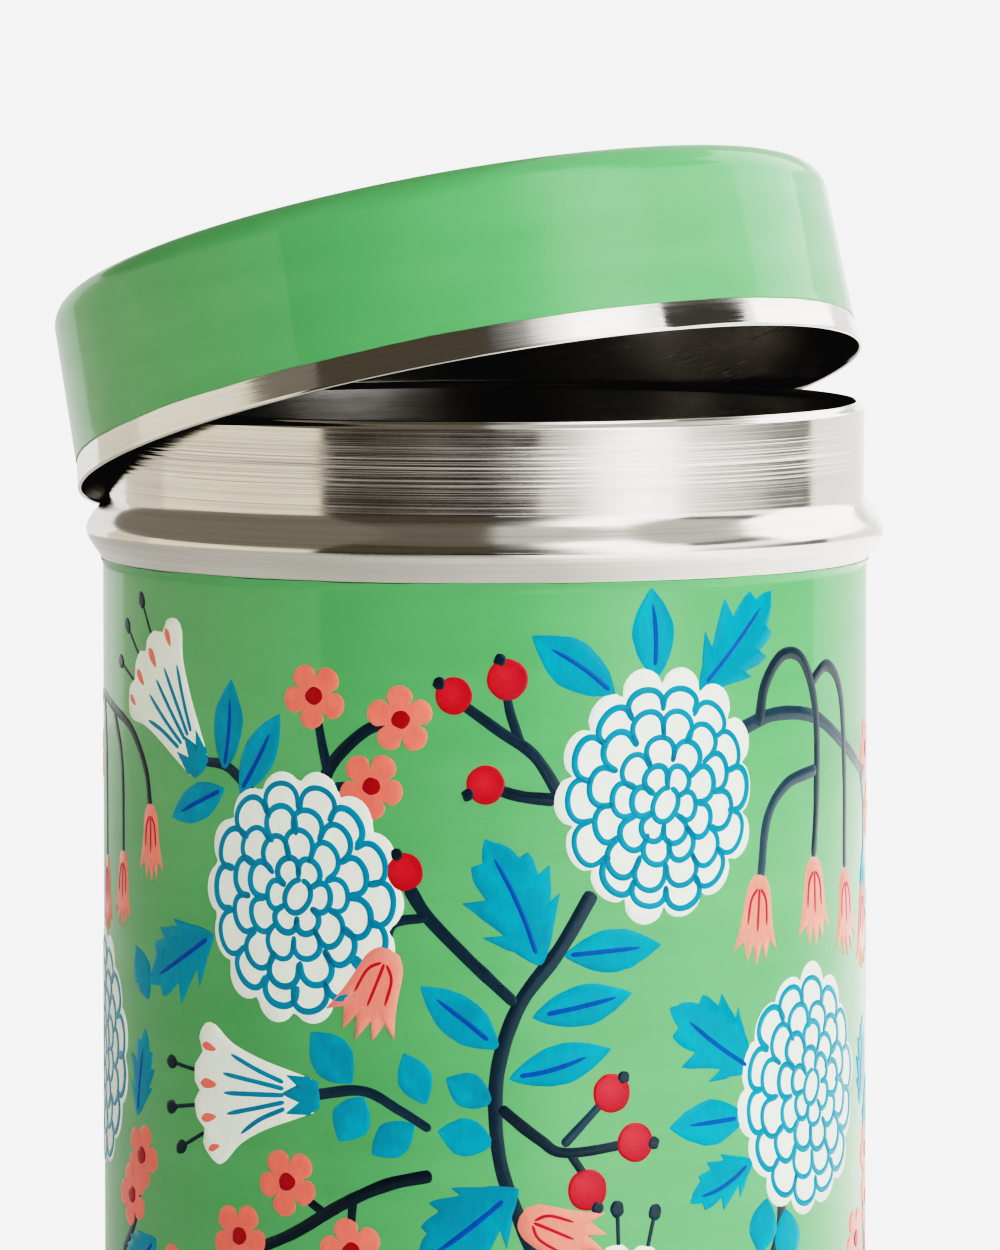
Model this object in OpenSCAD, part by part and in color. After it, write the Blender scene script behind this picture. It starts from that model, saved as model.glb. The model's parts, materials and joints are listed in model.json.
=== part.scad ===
// Tall painted steel canister with a loose slip-on lid.
// Units are millimetres, +Z is up. The origin is on the canister's axis, in the plane of its foot.
// Every wall is one thickness of drawn sheet, spun from a centre line, so each is a thin shell.
// The lid is drawn tipped on the neck. tilt is its angle from closed, and the hinge that stands
// in for the free lid runs through the point at pivot_r, pivot_z on the low side.

/* [Canister] */
// Diameter over the painted wall
body_d = 110; // [100:1:120]
// Height of the painted wall, foot to paint edge
painted_h = 140; // [90:1:200]
// Sheet thickness
sheet = 0.5; // [0.4:0.05:0.6]
// Thickness of the baked enamel
coat = 0.15; // [0.1:0.01:0.2]
// Outer radius of the rolled corner at the foot
foot_r = 2.5; // [2:0.5:4]
// Width of the flat turned under at the foot
flange = 1.6; // [1.2:0.1:3]
// How far the base is pressed up from the foot
base_rise = 3.8; // [2.5:0.1:6]

/* [Neck] */
// Height of the swell between the painted wall and its crest
swell_lower_h = 4.4; // [3.5:0.1:6]
// Height of the swell between its crest and the neck
swell_upper_h = 5.4; // [4.5:0.1:7]
// How far the crest stands out from the painted wall
swell_out = 2.4; // [1.8:0.1:2.6]
// Height of the turned neck, lip included
neck_h = 13; // [10:0.5:16]
// How far the neck is set in from the painted wall
neck_in = 0.4; // [0.3:0.1:0.8]
// Height of the drawn-in lip at the mouth
lip_h = 1.3; // [1:0.1:2]
// How far the lip is drawn in
lip_in = 0.7; // [0.4:0.1:1]

/* [Lid] */
// Lid height, rim to top
lid_h = 27.8; // [24:0.1:34]
// How far the bare rim stands out from the painted wall of the canister
rim_out = 2.45; // [2.3:0.05:2.8]
// How far the lid's paint edge stands out from the canister's painted wall
lid_wall_out = 2.05; // [1.9:0.05:2.2]
// How much the lid's wall draws in from its paint edge to its top corner
lid_taper = 0.4; // [0:0.1:0.8]
// Height of the bare rim band
band_h = 4.2; // [3:0.1:6]
// Outer radius of the lid's top corner
lid_corner = 4; // [2.5:0.1:6]
// Height of the lid's shallow crown
crown = 0.6; // [0:0.1:1.5]

/* [Lid position] */
// Angle of the lid from closed
tilt = 15.8; // [0:0.1:60]
// Compass direction of the lid's low side
low_side = 131.7; // [0:0.1:359]

/* [Hidden] */
$fn = 144;
eps = 0.02;                                  // skins stand this far off the steel
plate_t = 0.6;                               // thickness of the base disc
wall_r = body_d / 2 - coat;                  // outside of the steel wall
crest_r = body_d / 2 + swell_out;
neck_r = body_d / 2 - neck_in;
crest_z = painted_h + swell_lower_h;
neck_z = crest_z + swell_upper_h;            // foot of the turned neck
mouth_z = neck_z + neck_h;                   // top of the lip
closed_z = mouth_z - 16.3;                   // the rim's height when the lid is on
rim_r = body_d / 2 + rim_out;
lid_r = body_d / 2 + lid_wall_out;           // over the lid's paint, at its paint edge
lid_top_r = lid_r - lid_taper;
pivot_r = body_d / 2 - 5.2;
pivot_z = closed_z - 4.6;

// Points of an arc about c, from angle a to b.
function arc(c, r, a, b, n) =
    [for (i = [0:n]) let (t = a + (b - a) * i / n) [c[0] + r * cos(t), c[1] + r * sin(t)]];

// Points of a smooth S between two radii and heights, both ends left out.
function swell(r0, z0, r1, z1, n) =
    [for (i = [1:n - 1]) let (t = i / n, s = t * t * (3 - 2 * t))
        [r0 + (r1 - r0) * s, z0 + (z1 - z0) * t]];

// Unit normal at point i of a path, to the right of its travel.
function normal(p, i) =
    let (a = p[max(i - 1, 0)], b = p[min(i + 1, len(p) - 1)], d = b - a, l = norm(d))
    [d[1] / l, -d[0] / l];

// A path moved sideways by d.
function aside(p, d) = [for (i = [0:len(p) - 1]) p[i] + d * normal(p, i)];

// The same points in the other order.
function back(p) = [for (i = [len(p) - 1:-1:0]) p[i]];

// A closed sheet between two offsets of a path, spun about Z.
module spun(p, d0, d1) {
    rotate_extrude() polygon(concat(aside(p, d0), back(aside(p, d1))));
}

// Outside of the canister's steel, from the edge turned under the foot up to the lip.
foot_path = concat(
    [[wall_r - foot_r - flange, 0]],
    arc([wall_r - foot_r, foot_r], foot_r, 270, 360, 8));
shell_path = concat(
    foot_path,
    [[wall_r, painted_h - 1]],
    swell(wall_r, painted_h - 1, crest_r, crest_z, 9),
    [[crest_r, crest_z]],
    swell(crest_r, crest_z, neck_r, neck_z, 9),
    [[neck_r, neck_z], [neck_r, mouth_z - lip_h]],
    swell(neck_r, mouth_z - lip_h, neck_r - lip_in, mouth_z, 4),
    [[neck_r - lip_in, mouth_z]]);

// Outside of the lid's steel, from the rim to the middle of its top, its rim at Z = 0.
lid_path = concat(
    [[rim_r, 0]],
    swell(rim_r, 0, lid_r - coat, band_h - 0.3, 5),
    [[lid_r - coat, band_h]],
    arc([lid_top_r - lid_corner, lid_h - crown - lid_corner - coat], lid_corner - coat, 0, 80, 8),
    [for (i = [1:6]) let (t = 1 - i / 6, r = (lid_top_r - lid_corner) * t)
        [max(r, 0.001), lid_h - coat - crown * t * t]]);
lid_paint_path = [for (p = lid_path) if (p[1] >= band_h - 0.01) p];

// The lid's parts, carried from closed to where the lid lies.
module tipped() {
    translate([0, 0, pivot_z]) rotate([0, 0, low_side])
        translate([pivot_r, 0, 0]) rotate([0, tilt, 0]) translate([-pivot_r, 0, 0])
            rotate([0, 0, -low_side]) translate([0, 0, closed_z - pivot_z]) children();
}

// Wall, foot, swell, neck and lip, drawn from one tube.
module body_shell() {
    color("Gainsboro") spun(shell_path, -sheet, 0);
}

// Pressed disc lying on the turned-under edge, raised inside it and stepped down at its middle.
module base_plate() {
    edge_r = wall_r - foot_r;
    top_r = edge_r - flange - 2.4;
    lip_z = sheet + plate_t + eps;
    path = concat(
        [[edge_r, lip_z], [edge_r - flange, lip_z]],
        swell(edge_r - flange, lip_z, top_r, base_rise, 6),
        [[top_r, base_rise], [top_r * 0.66, base_rise]],
        swell(top_r * 0.66, base_rise, top_r * 0.6, base_rise - 0.9, 5),
        [[top_r * 0.6, base_rise - 0.9], [0.001, base_rise - 0.9]]);
    color("Silver") spun(path, -plate_t, 0);
}

// Green enamel over the wall, from the foot's corner to the paint edge.
module body_enamel() {
    path = concat(
        arc([wall_r - foot_r, foot_r], foot_r, 330, 360, 4),
        [[wall_r, painted_h - 0.6]]);
    color("MediumSeaGreen") spun(path, eps, coat);
}

// Drawn cap with a bare, slightly flared rim.
module lid_shell() {
    color("Gainsboro") tipped() spun(lid_path, -sheet, 0);
}

// Green enamel over the cap, from the rim band to the middle of its top.
module lid_enamel() {
    color("MediumSeaGreen") tipped() spun(lid_paint_path, eps, coat);
}

base_plate();
body_shell();
body_enamel();
lid_shell();
lid_enamel();
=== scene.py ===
import json
import random
from math import atan2, cos, dist, exp, hypot, pi, radians, sin, sqrt

import bpy
from mathutils import Matrix, Vector, noise


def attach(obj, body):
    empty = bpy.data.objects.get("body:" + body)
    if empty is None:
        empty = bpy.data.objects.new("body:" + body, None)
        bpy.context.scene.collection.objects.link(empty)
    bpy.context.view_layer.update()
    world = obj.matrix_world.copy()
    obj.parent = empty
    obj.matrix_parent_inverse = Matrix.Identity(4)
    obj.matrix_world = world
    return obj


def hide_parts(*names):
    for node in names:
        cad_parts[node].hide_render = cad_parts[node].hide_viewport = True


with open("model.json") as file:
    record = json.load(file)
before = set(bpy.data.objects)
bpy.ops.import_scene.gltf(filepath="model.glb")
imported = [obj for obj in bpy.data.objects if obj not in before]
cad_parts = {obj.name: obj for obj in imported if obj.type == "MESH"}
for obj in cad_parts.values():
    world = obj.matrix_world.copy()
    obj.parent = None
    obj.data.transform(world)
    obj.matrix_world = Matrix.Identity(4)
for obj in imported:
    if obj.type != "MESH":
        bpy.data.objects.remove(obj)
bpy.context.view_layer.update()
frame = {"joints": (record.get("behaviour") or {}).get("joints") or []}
rnd = random.Random(11)
MM = 0.001

# -------------------- sizes, in mm, as in the CAD
R = 55.0                     # over the wall's enamel
SHEET, COAT = 0.5, 0.15
WALL = R - COAT              # outside of the steel wall
PAINT_Z = 140.0
CREST_R, CREST_Z = R + 2.4, PAINT_Z + 4.4
NECK_R, NECK_Z = R - 0.4, PAINT_Z + 9.8
MOUTH_Z = NECK_Z + 13.0
LIP_H, LIP_IN = 1.3, 0.7
FOOT_R, FLANGE = 2.5, 1.6
CLOSED_Z = MOUTH_Z - 16.3    # the rim's height when the lid is on
RIM_R, LID_R, LID_TAPER = R + 2.45, R + 2.05, 0.4
LID_H, BAND_H, CORNER, CROWN = 27.8, 4.2, 4.0, 0.6
PLATE_T, BASE_RISE = 0.6, 3.8
GAP = 0.02                   # between parts that lie on each other

SEGS = 256                   # points round a spun piece
UV_TILE = 100.0              # mm to one unit of a spun piece's UV
SUNK = -0.012                # a paint skin's edge dips this far into the enamel

joint = {j["name"]: j for j in frame["joints"]}["lid_tip"]
TILT = -radians(joint["range_deg"][0])


# -------------------- node trees
class Tree:
    """A material's node tree, written as calls. An input is given by its name, or by i and its number;
    its value is a constant or another node's output."""

    def __init__(self, name):
        self.m = bpy.data.materials.new(name)
        self.m.use_nodes = True
        self.nt = self.m.node_tree
        self.nt.nodes.clear()

    def n(self, kind, props=None, **inputs):
        node = self.nt.nodes.new("ShaderNode" + kind)
        for k, v in (props or {}).items():
            setattr(node, k, v)
        for k, v in inputs.items():
            numbered = k[0] == "i" and k[1:].isdigit()
            s = node.inputs[int(k[1:]) if numbered else k.replace("_", " ")]
            if isinstance(v, bpy.types.NodeSocket):
                self.nt.links.new(v, s)
            else:
                s.default_value = v
        return node

    def math(self, op, a, b=0.0):
        return self.n("Math", {"operation": op}, i0=a, i1=b).outputs[0]

    def times(self, a, b):
        return self.math("MULTIPLY", a, b)

    def mix(self, kind, fac, a, b):
        return self.n("Mix", {"data_type": "RGBA", "blend_type": kind}, i0=fac, i6=a, i7=b).outputs[2]

    def scaled(self, vec, sx, sy, sz):
        return self.n("Mapping", i0=vec, i3=(sx, sy, sz)).outputs[0]

    def noise(self, vec, scale, detail=2.0, rough=0.5, distort=0.0):
        node = self.n("TexNoise", Vector=vec, Scale=scale, Detail=detail, Roughness=rough, Distortion=distort)
        return node.outputs["Fac"]

    def ramp(self, fac, *stops):
        """Colours along fac. Each stop is its place and its colour."""
        r = self.n("ValToRGB", i0=fac)
        e = r.color_ramp.elements
        e[0].position, e[0].color = stops[0][0], (*stops[0][1], 1)
        e[1].position, e[1].color = stops[-1][0], (*stops[-1][1], 1)
        for p, c in stops[1:-1]:
            e.new(p).color = (*c, 1)
        return r.outputs[0]

    def span(self, v, a, b, c, d):
        """v carried from a..b to c..d and held at the ends."""
        return self.n("MapRange", Value=v, From_Min=a, From_Max=b, To_Min=c, To_Max=d).outputs[0]

    def bump(self, height, distance, strength=1.0, normal=None):
        k = dict(Height=height, Distance=distance, Strength=strength)
        if normal is not None:
            k["Normal"] = normal
        return self.n("Bump", **k).outputs[0]

    def finish(self, bsdf):
        out = self.n("OutputMaterial")
        self.nt.links.new(bsdf.outputs[0], out.inputs[0])
        return self.m


def steel(name, tone, rough, line_depth, line_tone, coarse, aniso, deep_z=None):
    """Turned or drawn stainless steel. The UV runs round the part and along its profile.
    line_depth is the tool lines' depth in metres, line_tone how much they darken, coarse the share of the
    wider lines, and deep_z the band of heights, in mm, where the tool cut deepest."""
    t = Tree(name)
    uv = t.n("TexCoord").outputs["UV"]
    obj = t.n("TexCoord").outputs["Object"]
    fine = t.noise(t.scaled(uv, 1.2, 420, 1), 1.0, 3, 0.65)
    mid = t.noise(t.scaled(uv, 0.7, 95, 1), 1.0, 3, 0.7)
    cloud = t.noise(obj, 26, 3, 0.55)
    smear = t.noise(t.scaled(obj, 1, 1, 3), 75, 2, 0.6)
    dark = tuple(c * (1 - line_tone) for c in tone)
    pale = tuple(min(1, c * 1.06) for c in tone)
    lines = t.math("ADD", t.times(fine, 0.45), t.times(mid, 0.55))
    colour = t.ramp(lines, (0.34, dark), (0.5, tone), (0.66, pale))
    gloss = t.math("ADD", t.span(lines, 0.35, 0.65, rough + 0.07, rough - 0.03),
                   t.span(smear, 0.35, 0.7, -0.015, 0.05))
    height = t.math("ADD", t.times(fine, 0.35), t.times(mid, coarse))
    strength = 1.0
    if deep_z:
        z = t.n("SeparateXYZ", Vector=obj).outputs["Z"]
        lo, hi = (k * MM for k in deep_z)
        soft = 1.2 * MM
        shallow = 0.28      # strength outside the band
        ends = t.math("MINIMUM", t.span(z, lo - soft, lo, 0.0, 1.0), t.span(z, hi, hi + soft, 1.0, 0.0))
        patchy = t.span(t.noise(t.scaled(uv, 2.2, 9, 1), 1.0, 2), 0.35, 0.65, 0.6, 1.0)
        strength = t.math("ADD", t.times(t.times(ends, patchy), 1 - shallow), shallow)
    nrm = t.bump(height, line_depth, strength)
    nrm = t.bump(cloud, 0.00012, 0.35, nrm)
    tangent = t.n("Tangent", {"direction_type": "UV_MAP"}).outputs[0]
    b = t.n("BsdfPrincipled", Base_Color=colour, Metallic=1.0, Roughness=gloss, Anisotropic=aniso,
            Anisotropic_Rotation=0.25, Tangent=tangent, Normal=nrm)
    return t.finish(b)


def enamel(name, low, mid, high):
    """Baked gloss enamel laid on by hand: slow tone drift, faint brush bands and specks, and orange peel
    under a hard gloss. low, mid and high are its darkest, middle and palest tones."""
    t = Tree(name)
    uv = t.n("TexCoord").outputs["UV"]
    obj = t.n("TexCoord").outputs["Object"]
    drift = t.noise(obj, 17, 3, 0.55, 0.4)
    band = t.noise(t.scaled(uv, 3.0, 22, 1), 1.0, 2, 0.5)
    speck = t.noise(obj, 900, 1, 0.5)
    fac = t.math("ADD", t.times(drift, 0.72), t.times(band, 0.28))
    colour = t.ramp(fac, (0.36, low), (0.5, mid), (0.66, high))
    colour = t.mix("MULTIPLY", t.span(speck, 0.66, 0.78, 0.0, 0.25), colour, (0.72, 0.8, 0.72, 1))
    peel = t.noise(obj, 330, 2, 0.5)
    wave = t.noise(obj, 62, 2, 0.5)
    nrm = t.bump(wave, 0.00016, 0.5)
    nrm = t.bump(peel, 0.000012, 0.6, nrm)
    rough = t.span(t.noise(obj, 48, 3, 0.6), 0.3, 0.7, 0.3, 0.42)
    b = t.n("BsdfPrincipled", Base_Color=colour, Roughness=rough, Normal=nrm, Specular_IOR_Level=0.25,
            Coat_Weight=0.62, Coat_Roughness=0.05, Coat_Normal=nrm)
    return t.finish(b)


def paint(name, streak=0.1, rough=0.3, coat=0.35):
    """Brushed decorating paint. Its colour comes with the mesh, its brush marks and gloss from here."""
    t = Tree(name)
    obj = t.n("TexCoord").outputs["Object"]
    col = t.n("Attribute", {"attribute_name": "paint"}).outputs["Color"]
    brush = t.noise(t.scaled(obj, 1, 1, 0.35), 1500, 2, 0.6)
    pool = t.noise(obj, 300, 2, 0.5)
    dark = t.mix("MULTIPLY", t.span(brush, 0.35, 0.75, 0.0, streak * 2.2), col, (0.55, 0.6, 0.62, 1))
    lit = t.mix("MULTIPLY", t.span(pool, 0.5, 0.75, 0.0, streak * 2), dark, (1.5, 1.5, 1.4, 1))
    nrm = t.bump(brush, 0.00001, 0.7)
    nrm = t.bump(pool, 0.00004, 0.5, nrm)
    gloss = t.span(pool, 0.3, 0.7, rough, rough + 0.14)
    b = t.n("BsdfPrincipled", Base_Color=lit, Roughness=gloss, Normal=nrm, Specular_IOR_Level=0.25,
            Coat_Weight=coat, Coat_Roughness=0.09, Coat_Normal=nrm)
    return t.finish(b)


# -------------------- spun sheet
# A path is a list of (radius, height) in mm. Its outside is on the right of its travel.
def ease(r0, z0, r1, z1, n):
    """A smooth S between two points, both ends left out."""
    out = []
    for i in range(1, n):
        t = i / n
        s = t * t * (3 - 2 * t)
        out.append((r0 + (r1 - r0) * s, z0 + (z1 - z0) * t))
    return out


def arc(cr, cz, r, a, b, n):
    """An arc about cr, cz from angle a to b."""
    angles = [radians(a + (b - a) * i / n) for i in range(n + 1)]
    return [(cr + r * cos(t), cz + r * sin(t)) for t in angles]


def line(r0, z0, r1, z1, n):
    """A straight run in n steps, both ends in."""
    return [(r0 + (r1 - r0) * i / n, z0 + (z1 - z0) * i / n) for i in range(n + 1)]


def aside(path, d):
    """A path moved sideways by d, outwards where d is positive."""
    out = []
    for i, (r, z) in enumerate(path):
        a, b = path[max(i - 1, 0)], path[min(i + 1, len(path) - 1)]
        dr, dz = b[0] - a[0], b[1] - a[1]
        k = hypot(dr, dz) or 1
        out.append((max(r + d * dz / k, 0), z - d * dr / k))
    return out


def rounded_end(p, q, n=5):
    """Points from p to q round a half circle that bulges on their left, both ends left out."""
    cx, cz = (p[0] + q[0]) / 2, (p[1] + q[1]) / 2
    a0 = atan2(p[1] - cz, p[0] - cx)
    k = hypot(p[0] - cx, p[1] - cz)
    angles = [a0 + pi * i / n for i in range(1, n)]
    return [(cx + k * cos(a), cz + k * sin(a)) for a in angles]


def sheet_loop(path, d0, d1, within=None):
    """Outline of a sheet between two offsets of a path, d1 on the outside, its free edges rounded.
    within is the inner face's own path, where that differs."""
    outer, inner = aside(path, d1), aside(within or path, d0)[::-1]
    return outer + rounded_end(outer[-1], inner[0]) + inner + rounded_end(inner[-1], outer[0])


def spin(name, loop, mat, segs=SEGS, wobble=None, matrix=None):
    """A closed outline of (radius, height) spun about Z. wobble(angle, index) moves a point by (dr, dz)."""
    verts, faces, uvs, rows = [], [], [], []
    run = [0.0]                    # distance along the outline
    for p, q in zip(loop, loop[1:] + loop[:1]):
        run.append(run[-1] + hypot(q[0] - p[0], q[1] - p[1]))
    on_axis = 0.005
    for i, (r, z) in enumerate(loop):
        if r < on_axis:
            rows.append([len(verts)] * segs)
            verts.append((0, 0, z))
            continue
        rows.append(list(range(len(verts), len(verts) + segs)))
        for k in range(segs):
            a = 2 * pi * k / segs
            dr, dz = wobble(a, i) if wobble else (0, 0)
            verts.append(((r + dr) * cos(a), (r + dr) * sin(a), z + dz))
    around = 2 * pi * R / UV_TILE
    for i in range(len(loop)):
        j = (i + 1) % len(loop)
        for k in range(segs):
            m = (k + 1) % segs
            quad = [(rows[i][k], k, run[i]), (rows[i][m], k + 1, run[i]),
                    (rows[j][m], k + 1, run[i + 1]), (rows[j][k], k, run[i + 1])]
            corners = {}           # the two that meet on the axis count once
            for v, step, d in quad:
                corners.setdefault(v, (step / segs * around, d / UV_TILE))
            if len(corners) > 2:
                faces.append(list(corners))
                uvs += corners.values()
    return build(name, verts, faces, mat, uvs=uvs, matrix=matrix, sharp=50)


def added(name, data):
    """A new object in the scene."""
    o = bpy.data.objects.new(name, data)
    bpy.context.scene.collection.objects.link(o)
    return o


def build(name, verts, faces, mat, uvs=None, colours=None, matrix=None, sharp=None):
    """A mesh object from points in mm. uvs has a pair for each face corner, colours one for each point."""
    me = bpy.data.meshes.new(name)
    me.from_pydata([Vector(v) * MM for v in verts], [], faces)
    if matrix is not None:
        me.transform(matrix)
    if uvs:
        layer = me.uv_layers.new(name="UVMap")
        layer.data.foreach_set("uv", [c for u in uvs for c in u])
    if colours:
        layer = me.color_attributes.new("paint", "FLOAT_COLOR", "POINT")
        layer.data.foreach_set("color", [c for q in colours for c in (*q, 1.0)])
    me.polygons.foreach_set("use_smooth", [True] * len(me.polygons))
    if sharp:
        me.set_sharp_from_angle(angle=radians(sharp))
    me.materials.append(mat)
    me.update()
    return added(name, me)


STEEL_NECK = steel("turned steel", (0.67, 0.65, 0.61), 0.11, 0.00008, 0.15, 0.9, 0.7,
                   (MOUTH_Z - 8.6, MOUTH_Z - 4.0))
STEEL_BARE = steel("drawn steel", (0.68, 0.665, 0.63), 0.065, 0.000008, 0.05, 0.5, 0.3)
# the inside steel is rougher than the outside, and its paler tone is painted light that lifts the shaded
# inside
STEEL_IN = steel("inside steel", (0.74, 0.725, 0.70), 0.19, 0.0000025, 0.05, 0.5, 0.3)
GREEN = enamel("green enamel", (0.112, 0.350, 0.137), (0.127, 0.380, 0.153), (0.150, 0.410, 0.173))


def turned(z):
    """How far the tool stood off at a height: a few deep passes below the lip, fine ones lower down."""
    deep = exp(-((MOUTH_Z - z - 6.2) / 1.9) ** 2)
    wide, narrow = noise.noise(Vector((z * 2.9, 3.1, 0))), noise.noise(Vector((z * 6.1, 9.2, 0)))
    return (0.036 * deep + 0.009) * (wide + 0.6 * narrow)


def swell_foot():
    """The path from the wall out to the crest of the swell, its last point left out."""
    return [(WALL, PAINT_Z - 1)] + ease(WALL, PAINT_Z - 1, CREST_R, CREST_Z, 22)


def inside_finish(o, first, end):
    """Gives the rows of faces from first up to end the inside steel: duller than the outside, and paler as
    painted light on the shaded inside.
    """
    o.data.materials.append(STEEL_IN)
    for f in o.data.polygons:
        f.material_index = 1 if first <= f.index // SEGS < end else 0


def canister_steel():
    path = [(WALL - FOOT_R - FLANGE, 0)] + arc(WALL - FOOT_R, FOOT_R, FOOT_R, 270, 360, 12)
    path += line(WALL, FOOT_R + 4, WALL, PAINT_Z - 1.6, 10) + swell_foot() + [(CREST_R, CREST_Z)]
    path += ease(CREST_R, CREST_Z, NECK_R, NECK_Z, 22)
    top, end_z = MOUTH_Z - LIP_H, MOUTH_Z - SHEET / 2      # the sheet's rounded end adds the last half
    neck = line(NECK_R, NECK_Z, NECK_R, top, 130)
    lip = ease(NECK_R, top, NECK_R - LIP_IN, end_z, 7) + [(NECK_R - LIP_IN, end_z)]
    inside = path + neck + lip
    path += [(r + turned(z), z) for r, z in neck] + lip    # the tool marks the outside only
    loop = sheet_loop(path, -SHEET, 0, inside)
    o = spin("canister_steel", loop, STEEL_NECK)
    inside_finish(o, len(path) + 4, len(loop))
    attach(o, "canister")
    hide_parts("body_shell")


def paint_edge(first, count, reach):
    """A wobble that moves count points of the outline, from first on, up and down round the piece by about
    reach mm, as a brushed paint edge runs."""
    def move(a, i):
        if not first <= i < first + count:
            return 0, 0
        v = Vector((cos(a) * 6, sin(a) * 6, 0.3))
        return 0, reach * (noise.noise(v) + 0.5 * noise.noise(v * 3.3))
    return move


def canister_enamel():
    path = arc(WALL - FOOT_R, FOOT_R, FOOT_R, 330, 360, 8) + line(WALL, FOOT_R + 2, WALL, PAINT_Z - 1.4, 60)
    path += [p for p in swell_foot() if p[1] < PAINT_Z + 0.3]
    loop = sheet_loop(path, GAP / 2, COAT)
    o = spin("canister_enamel", loop, GREEN, wobble=paint_edge(len(path) - 1, 6, 0.16))
    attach(o, "canister")
    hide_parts("body_enamel")


def base_disc():
    edge, lip = WALL - FOOT_R, SHEET + PLATE_T + GAP
    rim = edge - FLANGE
    top_r, step0, step1 = rim - 2.4, 0.66, 0.6      # the middle steps down between two shares of top_r
    low = BASE_RISE - 0.9
    path = line(edge, lip, rim, lip, 3) + ease(rim, lip, top_r, BASE_RISE, 12) + [(top_r, BASE_RISE)]
    path += line(top_r - 1, BASE_RISE, top_r * step0, BASE_RISE, 8)
    path += ease(top_r * step0, BASE_RISE, top_r * step1, low, 10) + line(top_r * step1, low, 0, low, 14)
    loop = aside(path, 0)[:-1] + [(0, low), (0, low - PLATE_T)] + aside(path, -PLATE_T)[::-1][1:]
    o = spin("base_disc", loop, STEEL_IN, segs=192)
    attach(o, "canister")
    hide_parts("base_plate")


def lid_matrix():
    """From the shut lid's own frame, rim at Z = 0, to where the lid lies."""
    p = Vector(joint["pos_m"])
    turn = Matrix.Rotation(TILT, 4, Vector(joint["axis"]))
    return Matrix.Translation(p) @ turn @ Matrix.Translation(-p) @ Matrix.Translation((0, 0, CLOSED_Z * MM))


def lid():
    top_r = LID_R - LID_TAPER
    corner_z = LID_H - CROWN - CORNER - COAT
    band_top = BAND_H - 0.25
    rim = line(RIM_R, 0.0, LID_R - COAT + 0.03, band_top, 12)
    wall = line(LID_R - COAT, BAND_H, top_r - COAT, corner_z - 0.6, 12)
    wall += arc(top_r - CORNER, corner_z, CORNER - COAT, 0, 84, 14)
    crown, rings = [], 14
    for i in range(1, rings + 1):
        k = 1 - i / rings
        crown.append(((top_r - CORNER) * k, LID_H - COAT - CROWN * k * k))
    path = rim + wall + crown
    m = lid_matrix()
    inner = aside(path, -SHEET)
    inner[-1] = (0, path[-1][1] - SHEET)
    loop = path[:-1] + [(0, path[-1][1])] + inner[::-1] + rounded_end(inner[0], path[0])
    o = spin("lid_steel", loop, STEEL_BARE, matrix=m)
    inside_finish(o, len(path) + 3, len(loop) - 12)
    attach(o, "lid")
    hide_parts("lid_shell")

    path = [(LID_R - COAT + GAP, band_top)] + wall + crown
    inner, outer = aside(path, GAP / 2), aside(path, COAT)
    inner[-1], outer[-1] = (0, path[-1][1] + GAP / 2), (0, path[-1][1] + COAT)
    loop = outer + inner[::-1] + rounded_end(inner[0], outer[0])
    edge, under = paint_edge(0, 1, 0.12), paint_edge(len(loop) - 5, 5, 0.12)
    c = spin("lid_enamel_coat", loop, GREEN, matrix=m, wobble=lambda a, i: under(a, i) if i else edge(a, i))
    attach(c, "lid")
    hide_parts("lid_enamel")


# -------------------- painted decoration
# Positions are on the unrolled wall: s is mm round it, from the front, and z is the height in mm.
class Layer:
    """Shapes in one family of paint. Each is a thin raised skin that follows the wall."""

    def __init__(self, name, slot, mat, thick):
        self.name, self.slot, self.mat, self.thick = name, slot, mat, thick
        self.v, self.f, self.c = [], [], []

    def put(self, s, z, h, col):
        """Adds a point h mm off the wall and gives its number."""
        a, r = s / R, R + h
        self.v.append((r * sin(a), -r * cos(a), z))
        self.c.append(col)
        return len(self.v) - 1

    def make(self):
        o = build(self.name, self.v, self.f, self.mat, colours=self.c)
        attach(o, "canister")


WHITE = Layer("white_flowers", "white_paint", paint("white paint", 0.05, 0.26), 0.085)
BLUE = Layer("blue_leaves", "blue_paint", paint("blue paint", 0.14, 0.26, 0.2), 0.062)
NAVY = Layer("navy_stems", "navy_paint", paint("navy paint", 0.12, 0.24), 0.05)
CORAL = Layer("coral_blossoms", "coral_paint", paint("coral paint", 0.1, 0.28), 0.075)
RED = Layer("red_berries", "red_paint", paint("red paint", 0.08, 0.2), 0.1)
LAYERS = [WHITE, BLUE, NAVY, CORAL, RED]

C_WHITE, C_TEAL, C_LEAF, C_RIB = (0.84, 0.90, 0.79), (0.0, 0.235, 0.37), (0.0, 0.275, 0.40), (0.0, 0.09, 0.37)
C_NAVY, C_CORAL, C_PALE_CORAL = (0.018, 0.040, 0.056), (0.97, 0.208, 0.165), (1, 0.5, 0.42)
# the last red is the pale red of the berries' painted highlight
C_RED, C_BERRY, C_BERRY_PAINTED_HIGHLIGHT = (0.52, 0.014, 0.034), (0.53, 0.018, 0.036), (0.66, 0.045, 0.06)
C_CREASE = (0.33, 0.002, 0.02)


def on_wall(deg):
    """The s of a place deg round the wall from the front."""
    return deg * R * pi / 180


def mixed(a, b, t):
    return tuple(x + (y - x) * t for x, y in zip(a, b))


def tint(c, k):
    return tuple(min(1.0, max(0.0, x * k)) for x in c)


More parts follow.
